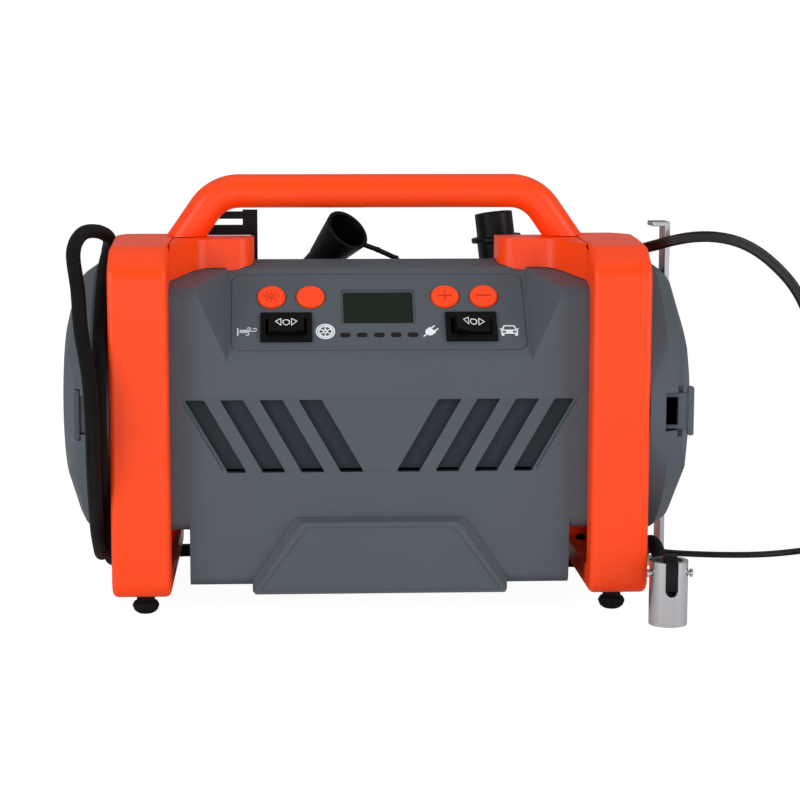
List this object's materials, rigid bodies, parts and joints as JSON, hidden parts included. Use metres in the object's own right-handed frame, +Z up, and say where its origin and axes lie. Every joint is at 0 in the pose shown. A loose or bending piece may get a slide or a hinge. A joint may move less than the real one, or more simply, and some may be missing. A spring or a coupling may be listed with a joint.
{
  "type": "portable air compressor",
  "caption": "Dual-power tyre inflator: grey body between two orange frame loops with a carry handle, wound braided hose, tyre chuck, sloped control panel and two leads.",
  "frame": {"origin": "bottom centre of the inflator on the ground under its feet, its cords left out", "axes": "+X to the right along the body as seen from the control face, +Y from the control face to the back, +Z up"},
  "size_m": [0.5641, 0.3441, 0.239],
  "materials": {
    "shell_grey": "moulded, fine satin",
    "frame_orange": "moulded, soft satin",
    "display_glass": "clear glossy window",
    "dark_plastic": "moulded, satin",
    "lens_smoke": "smoky glossy lens",
    "rubber": "matt",
    "hose_braid": "woven polyester braid",
    "lead_pvc": "smooth PVC",
    "plate_grey": "moulded",
    "zinc": "bright plated",
    "motor_steel": "drawn steel",
    "cast_alloy": "die cast",
    "board_green": "solder mask"
  },
  "bodies": {
    "base": {"front_shell": "shell_grey", "rear_shell": "shell_grey", "control_panel": "shell_grey", "lower_front_plate": "shell_grey", "left_end_cover": "shell_grey", "right_end_cover": "shell_grey", "left_frame_loop": "frame_orange", "right_frame_loop": "frame_orange", "carry_handle": "frame_orange", "lcd_window": "display_glass", "lcd_module": "dark_plastic", "rocker_bezels": "dark_plastic", "mains_strain_relief": "dark_plastic", "mains_plug_body": "dark_plastic", "car_strain_relief": "dark_plastic", "car_plug_body": "dark_plastic", "blower_nozzle": "dark_plastic", "accessory_rack": "dark_plastic", "port_cap": "dark_plastic", "blower_casing": "dark_plastic", "indicator_lenses": "lens_smoke", "work_light": "lens_smoke", "rubber_feet": "rubber", "chuck_seal": "rubber", "air_hose_winding": "hose_braid", "air_hose": "hose_braid", "mains_lead": "lead_pvc", "mains_lead_coil": "lead_pvc", "car_lead": "lead_pvc", "car_lead_coil": "lead_pvc", "end_plates": "plate_grey", "chuck_barrel": "zinc", "chuck_pin": "zinc", "hose_gland": "zinc", "mains_plug_pins": "zinc", "car_plug_side_contacts": "zinc", "shell_screws": "zinc", "winding_bracket": "motor_steel", "pump_motor": "motor_steel", "blower_motor": "motor_steel", "crankcase": "cast_alloy", "pump_cylinder": "cast_alloy", "cylinder_head": "cast_alloy", "control_board": "board_green", "power_board": "board_green"},
    "light_button": {"light_button": "frame_orange"},
    "unit_button": {"unit_button": "frame_orange"},
    "plus_button": {"plus_button": "frame_orange"},
    "minus_button": {"minus_button": "frame_orange"},
    "mode_paddle": {"mode_paddle": "dark_plastic"},
    "power_paddle": {"power_paddle": "dark_plastic"},
    "left_keeper": {"left_hose_keeper": "shell_grey"},
    "right_keeper": {"right_cord_keeper": "shell_grey"},
    "chuck_lever": {"chuck_lever": "dark_plastic"},
    "pinion": {"pump_pinion": "motor_steel"},
    "crank": {"crank_gear": "motor_steel"},
    "rod": {"connecting_rod": "cast_alloy"},
    "piston": {"piston": "cast_alloy"},
    "impeller": {"blower_impeller": "dark_plastic"},
    "plug_tip": {"car_plug_tip": "zinc"}
  },
  "joints": [
    {"name": "light_button_press", "type": "slide", "parent": "base", "child": "light_button", "axis": [0, 0.7071, -0.7071], "range_m": [0, 0.001], "stiffness_N_per_m": 400, "springref_m": -0.0005},
    {"name": "unit_button_press", "type": "slide", "parent": "base", "child": "unit_button", "axis": [0, 0.7071, -0.7071], "range_m": [0, 0.001], "stiffness_N_per_m": 400, "springref_m": -0.0005},
    {"name": "plus_button_press", "type": "slide", "parent": "base", "child": "plus_button", "axis": [0, 0.7071, -0.7071], "range_m": [0, 0.001], "stiffness_N_per_m": 400, "springref_m": -0.0005},
    {"name": "minus_button_press", "type": "slide", "parent": "base", "child": "minus_button", "axis": [0, 0.7071, -0.7071], "range_m": [0, 0.001], "stiffness_N_per_m": 400, "springref_m": -0.0005},
    {"name": "mode_rock", "type": "hinge", "parent": "base", "child": "mode_paddle", "pos_m": [-0.051, -0.04779, 0.15488], "axis": [0, 0.7071, 0.7071], "range_deg": [-10, 10]},
    {"name": "power_rock", "type": "hinge", "parent": "base", "child": "power_paddle", "pos_m": [0.051, -0.04779, 0.15488], "axis": [0, 0.7071, 0.7071], "range_deg": [-20, 0]},
    {"name": "left_keeper_slide", "type": "slide", "parent": "base", "child": "left_keeper", "axis": [-1, 0, 0], "range_m": [0, 0.0055]},
    {"name": "right_keeper_slide", "type": "slide", "parent": "base", "child": "right_keeper", "axis": [1, 0, 0], "range_m": [-0.0055, 0]},
    {"name": "chuck_lever_hinge", "type": "hinge", "parent": "base", "child": "chuck_lever", "pos_m": [0.154, -0.1005, 0.0284], "axis": [1, 0, 0], "range_deg": [-45, 0]},
    {"name": "crank_turn", "type": "hinge", "parent": "base", "child": "crank", "pos_m": [-0.054, 0, 0.084], "axis": [1, 0, 0], "continuous": true},
    {"name": "pinion_turn", "type": "hinge", "parent": "base", "child": "pinion", "pos_m": [-0.054, 0, 0.06], "axis": [1, 0, 0], "continuous": true},
    {"name": "rod_swing", "type": "hinge", "parent": "crank", "child": "rod", "pos_m": [-0.066, 0, 0.0885], "axis": [1, 0, 0], "continuous": true},
    {"name": "piston_slide", "type": "slide", "parent": "base", "child": "piston", "axis": [0, 0, 1], "range_m": [-0.009, 0]},
    {"name": "impeller_turn", "type": "hinge", "parent": "base", "child": "impeller", "pos_m": [0.047, 0, 0.095], "axis": [1, 0, 0], "continuous": true},
    {"name": "plug_tip_press", "type": "slide", "parent": "base", "child": "plug_tip", "axis": [0, -1, 0], "range_m": [0, 0.0025], "stiffness_N_per_m": 900, "springref_m": -0.001}
  ],
  "couplings": [
    {"joint": "pinion_turn", "follows": "crank_turn", "ratio": -3},
    {"joint": "rod_swing", "follows": "crank_turn", "ratio": -1}
  ]
}
